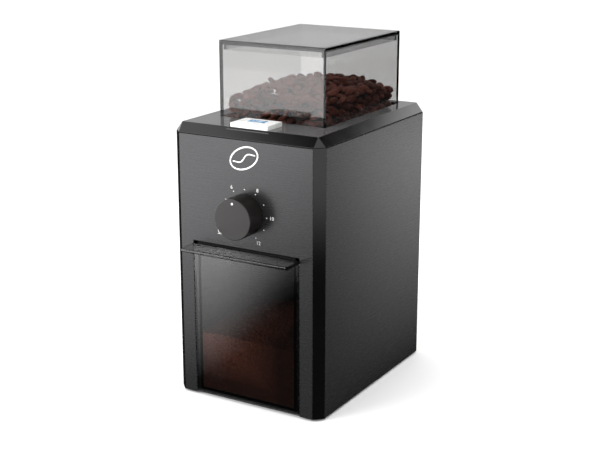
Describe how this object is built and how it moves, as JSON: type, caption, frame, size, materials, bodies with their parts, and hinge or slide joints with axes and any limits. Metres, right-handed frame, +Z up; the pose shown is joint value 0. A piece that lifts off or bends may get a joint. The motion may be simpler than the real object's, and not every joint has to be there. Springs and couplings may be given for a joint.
{
  "type": "burr coffee grinder",
  "caption": "Electric burr coffee grinder: clear bean hopper on a bevelled black housing, cup dial, start button, fineness wheel and pull-out grounds container.",
  "frame": {"origin": "on the table under the middle of the overall box; the overall box runs from the container's pull lip to the back of the housing", "axes": "+Z up; the front with the dial and container looks along -Y; +X is on the right of someone facing the front"},
  "size_m": [0.124, 0.182, 0.262],
  "materials": {
    "housing_black": "gloss black moulding",
    "panel_anthracite": "satin anthracite panel",
    "rear_black": "fine-grained matt black",
    "rubber_black": "matt rubber",
    "steel_screws": "zinc-plated",
    "liner_black": "matt black liner",
    "frame_grey": "glass-filled grey",
    "bronze_bush": "sintered bronze",
    "motor_steel": "drawn steel can",
    "magnet_ferrite": "dark ferrite",
    "carbon_brush": "pressed carbon",
    "shaft_steel": "ground steel",
    "core_steel": "stacked laminations",
    "copper_winding": "enamelled copper wire",
    "copper_bars": "bare copper bars",
    "fan_plastic": "moulded black",
    "gear_brass": "machined brass",
    "gear_nylon": "natural nylon",
    "carrier_black": "glass-filled black",
    "burr_steel": "hardened steel",
    "ring_brass": "machined brass",
    "wheel_plastic": "ribbed black",
    "smoked_clear": "smoked clear plastic",
    "lid_clear": "pale clear plastic",
    "container_clear": "smoked clear plastic",
    "container_lid_black": "matt black",
    "button_white": "satin white",
    "window_blue": "blue light window",
    "spring_steel": "bright spring wire",
    "board_green": "green laminate",
    "switch_black": "moulded black",
    "switch_plunger": "red moulded",
    "knob_black": "soft satin black",
    "shaft_plastic": "turned aluminium",
    "pot_metal": "pressed steel shell",
    "relay_blue": "blue case",
    "capacitor_yellow": "yellow case"
  },
  "bodies": {
    "housing": {"body_shell": "housing_black", "front_fascia": "panel_anthracite", "left_side_panel": "panel_anthracite", "right_side_panel": "panel_anthracite", "rear_cover": "rear_black", "cord_gland": "rubber_black", "base_plate": "rear_black", "rubber_feet": "rubber_black", "housing_screws": "steel_screws", "top_cover": "housing_black", "container_bay": "liner_black", "chassis_frame": "frame_grey", "gear_case": "frame_grey", "burr_chamber": "frame_grey", "mill_cover": "frame_grey", "grounds_chute": "liner_black", "mill_screws": "steel_screws", "burr_shaft_bushes": "bronze_bush", "motor_can": "motor_steel", "motor_end_cap": "frame_grey", "motor_bushes": "bronze_bush", "motor_magnets": "magnet_ferrite", "motor_brushes": "carbon_brush", "switch_board": "board_green", "start_switch": "switch_black", "potentiometer": "pot_metal", "control_board": "board_green", "power_relay": "relay_blue", "suppression_capacitor": "capacitor_yellow", "hopper_switch": "switch_black", "container_switch": "switch_black"},
    "rotor": {"motor_shaft": "shaft_steel", "armature_core": "core_steel", "armature_windings": "copper_winding", "commutator": "copper_bars", "cooling_fan": "fan_plastic", "pinion_gear": "gear_brass"},
    "burr_drive": {"burr_shaft": "shaft_steel", "driven_gear": "gear_nylon", "lower_burr_carrier": "carrier_black", "lower_burr": "burr_steel", "lower_burr_screws": "steel_screws", "feed_cone": "carrier_black"},
    "ring": {"adjustment_ring": "ring_brass"},
    "thumbwheel": {"grind_thumbwheel": "wheel_plastic"},
    "upper_mill": {"upper_burr_carrier": "carrier_black", "upper_burr": "burr_steel", "upper_burr_screws": "steel_screws"},
    "hopper": {"bean_hopper": "smoked_clear", "hopper_gasket": "rubber_black"},
    "lid": {"hopper_lid": "lid_clear"},
    "container": {"grounds_container": "container_clear", "container_lid": "container_lid_black"},
    "dial": {"dial_knob": "knob_black", "dial_shaft": "shaft_plastic"},
    "button": {"start_button": "button_white", "button_window": "window_blue", "button_spring": "spring_steel"},
    "hopper_plunger": {"hopper_switch_plunger": "switch_plunger"},
    "container_plunger": {"container_switch_plunger": "switch_plunger"}
  },
  "joints": [
    {"name": "rotor_spin", "type": "hinge", "parent": "housing", "child": "rotor", "pos_m": [0, 0.05, 0.094], "axis": [0, 0, 1], "continuous": true},
    {"name": "burr_spin", "type": "hinge", "parent": "housing", "child": "burr_drive", "pos_m": [0, 0.02, 0.15], "axis": [0, 0, 1], "continuous": true},
    {"name": "ring_turn", "type": "hinge", "parent": "housing", "child": "ring", "pos_m": [0, 0.02, 0.171], "axis": [0, 0, 1], "range_deg": [0, 60]},
    {"name": "thumbwheel_turn", "type": "hinge", "parent": "housing", "child": "thumbwheel", "pos_m": [-0.045, 0.02, 0.171], "axis": [0, 0, 1], "range_deg": [-110, 0]},
    {"name": "upper_burr_rise", "type": "slide", "parent": "housing", "child": "upper_mill", "axis": [0, 0, 1], "range_m": [0, 0.0012]},
    {"name": "hopper_lift", "type": "slide", "parent": "housing", "child": "hopper", "axis": [0, 0, 1], "range_m": [0, 0.045]},
    {"name": "lid_lift", "type": "slide", "parent": "hopper", "child": "lid", "axis": [0, 0, 1], "range_m": [0, 0.03]},
    {"name": "container_slide", "type": "slide", "parent": "housing", "child": "container", "axis": [0, -1, 0], "range_m": [0, 0.085]},
    {"name": "dial_turn", "type": "hinge", "parent": "housing", "child": "dial", "pos_m": [0, -0.08, 0.146], "axis": [0, -1, 0], "range_deg": [-150, 150]},
    {"name": "start_button_press", "type": "slide", "parent": "housing", "child": "button", "axis": [0, 0, 1], "range_m": [-0.002, 0], "stiffness_N_per_m": 400, "springref_m": 0.0012, "deforming": ["button_spring"]},
    {"name": "hopper_switch_press", "type": "slide", "parent": "housing", "child": "hopper_plunger", "axis": [0, 0, 1], "range_m": [-0.001, 0], "stiffness_N_per_m": 200, "springref_m": 0.001},
    {"name": "container_switch_press", "type": "slide", "parent": "housing", "child": "container_plunger", "axis": [0, 1, 0], "range_m": [0, 0.001], "stiffness_N_per_m": 200, "springref_m": -0.001}
  ],
  "couplings": [
    {"joint": "burr_spin", "follows": "rotor_spin", "ratio": -0.33333},
    {"joint": "ring_turn", "follows": "upper_burr_rise", "rad_per_m": 872.66},
    {"joint": "thumbwheel_turn", "follows": "upper_burr_rise", "rad_per_m": -1581.7}
  ]
}
